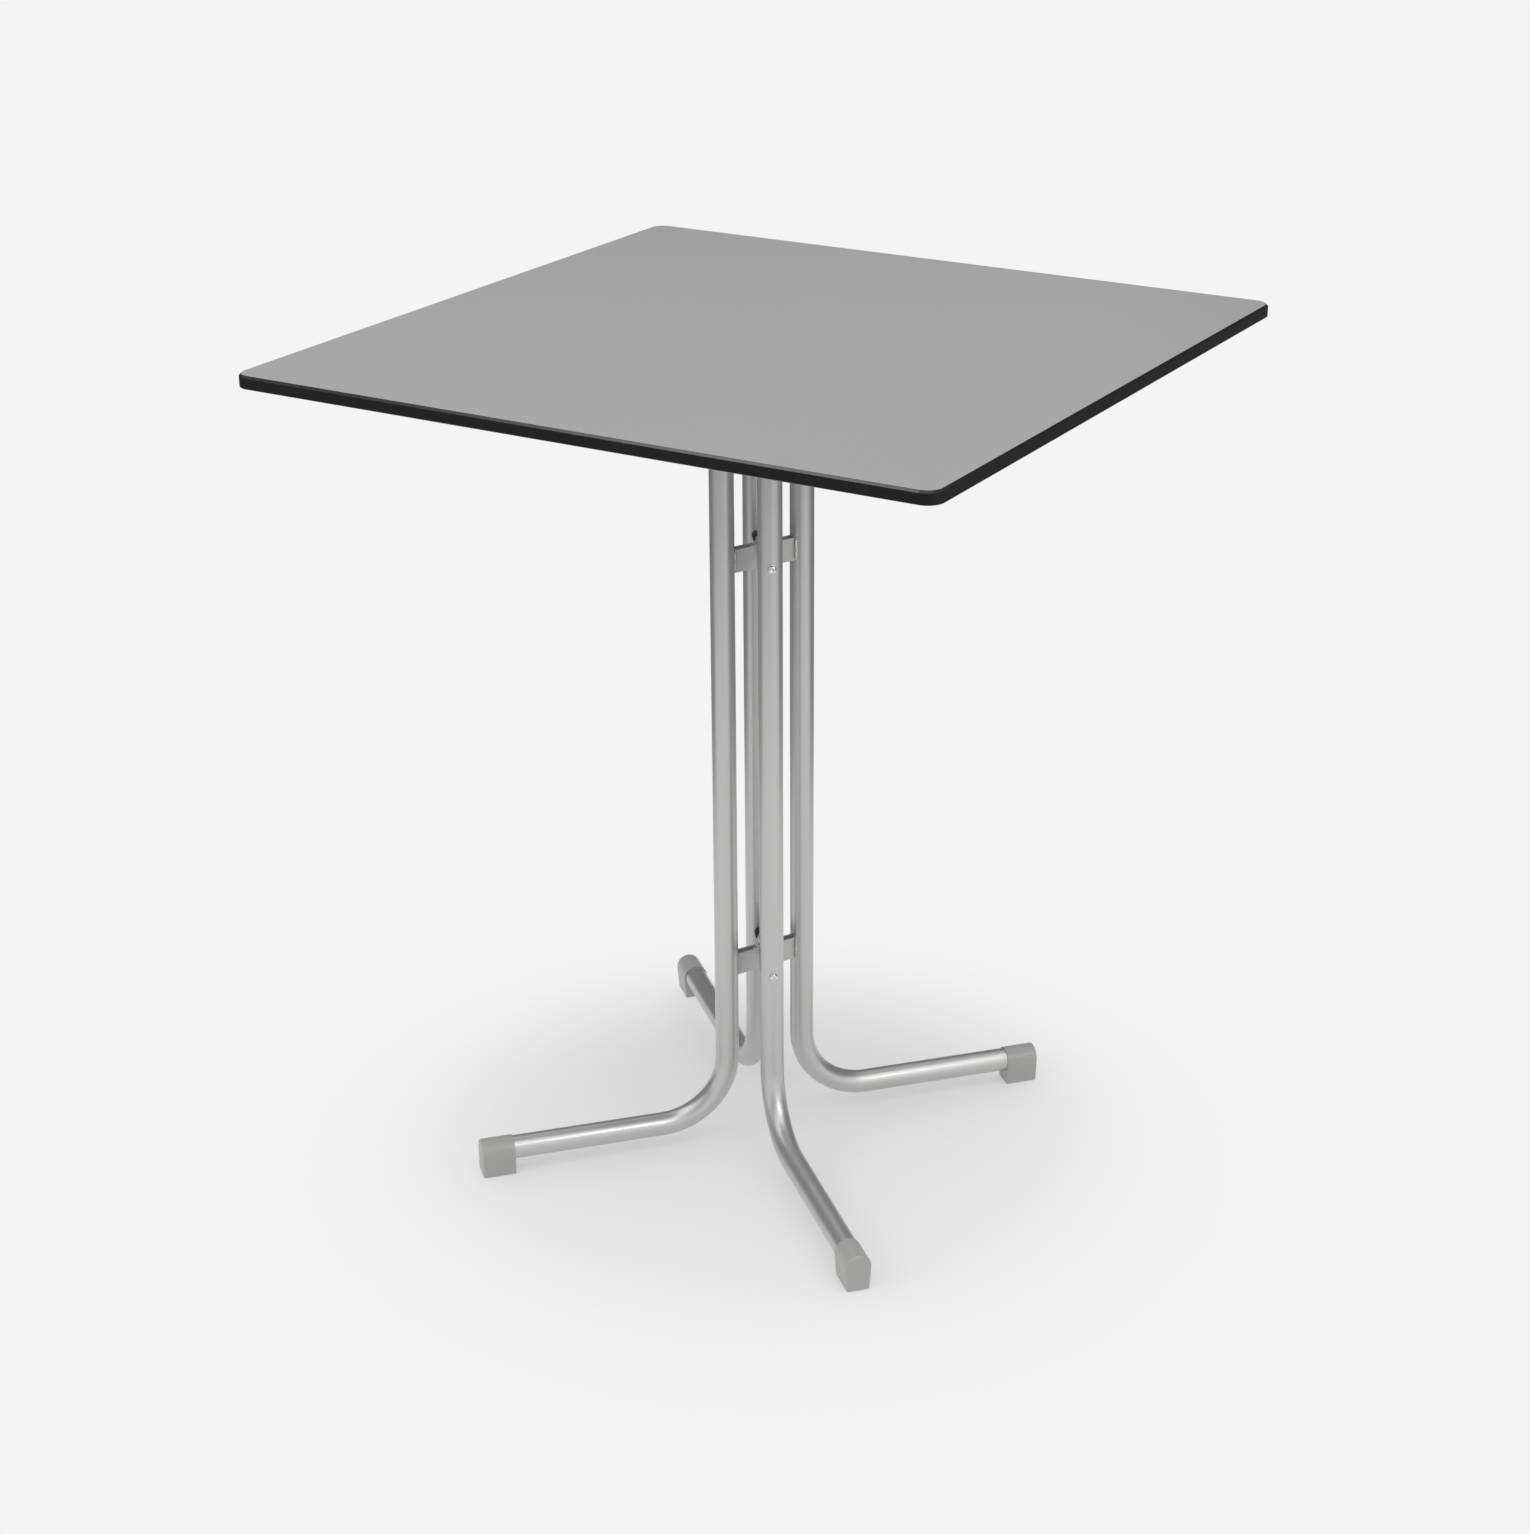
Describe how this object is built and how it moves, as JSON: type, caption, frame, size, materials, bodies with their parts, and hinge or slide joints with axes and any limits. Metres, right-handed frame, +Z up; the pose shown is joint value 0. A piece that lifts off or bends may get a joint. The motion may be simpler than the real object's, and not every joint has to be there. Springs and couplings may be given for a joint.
{
  "type": "folding high table",
  "caption": "Square high table on a slim column of bent tube legs that close like scissors, with a thin tilting top.",
  "frame": {"origin": "on the floor below the centre of the board", "axes": "+Z up, +X and +Y along the edges of the board, hinge line of the board along X"},
  "size_m": [0.9, 0.9, 1.052],
  "materials": {
    "laminate": "matt grey high pressure laminate",
    "core": "black compact core, polished edge",
    "tube": "satin silver powder coat",
    "bracket": "satin silver powder coat",
    "cap": "moulded warm grey plastic",
    "dark_steel": "dark grey powder coat",
    "zinc": "bright zinc plate",
    "nylon": "black nylon",
    "rubber": "black rubber"
  },
  "bodies": {
    "head": {"head_bracket": "dark_steel", "rest_bar": "dark_steel", "rest_pads": "rubber", "edge_buffer": "rubber", "catch_bar": "zinc", "hinge_bolts": "zinc", "hinge_nuts": "zinc", "hinge_spacers": "nylon", "pivot_bolt": "zinc", "pivot_nut": "zinc", "thrust_washer": "nylon", "middle_washer": "nylon", "lower_washer": "nylon", "stop_pins": "zinc"},
    "side_legs": {"right_leg_tube": "tube", "right_foot_cap": "cap", "right_foot_pad": "rubber", "left_leg_tube": "tube", "left_foot_cap": "cap", "left_foot_pad": "rubber", "side_top_plate": "dark_steel", "side_top_plugs": "nylon", "side_plate_bolts": "zinc", "upper_right_arm": "bracket", "upper_left_arm": "bracket", "upper_pivot_sleeve": "bracket", "lower_right_arm": "bracket", "lower_left_arm": "bracket", "lower_pivot_sleeve": "bracket"},
    "end_legs": {"back_leg_tube": "tube", "back_foot_cap": "cap", "back_foot_pad": "rubber", "front_leg_tube": "tube", "front_foot_cap": "cap", "front_foot_pad": "rubber", "end_top_plate": "dark_steel", "end_top_plugs": "nylon", "end_plate_bolts": "zinc", "rod_spacers": "nylon", "rod_screws": "zinc", "upper_pivot_plug": "nylon", "upper_cross_rod": "zinc", "lower_pivot_plug": "nylon", "lower_cross_rod": "zinc"},
    "board": {"board_core": "core", "top_laminate": "laminate", "underside_laminate": "laminate", "left_rail": "dark_steel", "right_rail": "dark_steel", "board_inserts": "zinc", "rail_screws": "zinc", "catch_clip": "zinc", "catch_clip_screws": "zinc", "hinge_bushes": "nylon"}
  },
  "joints": [
    {"name": "side_fold", "type": "hinge", "parent": "head", "child": "side_legs", "pos_m": [0, -0.03, 0], "axis": [0, 0, 1], "range_deg": [-40, 0]},
    {"name": "end_fold", "type": "hinge", "parent": "head", "child": "end_legs", "pos_m": [0, -0.03, 0], "axis": [0, 0, 1], "range_deg": [0, 40]},
    {"name": "board_tilt", "type": "hinge", "parent": "head", "child": "board", "pos_m": [0, 0.007, 1.002], "axis": [-1, 0, 0], "range_deg": [0, 90]}
  ],
  "couplings": [
    {"joint": "end_fold", "follows": "side_fold", "ratio": -1}
  ]
}
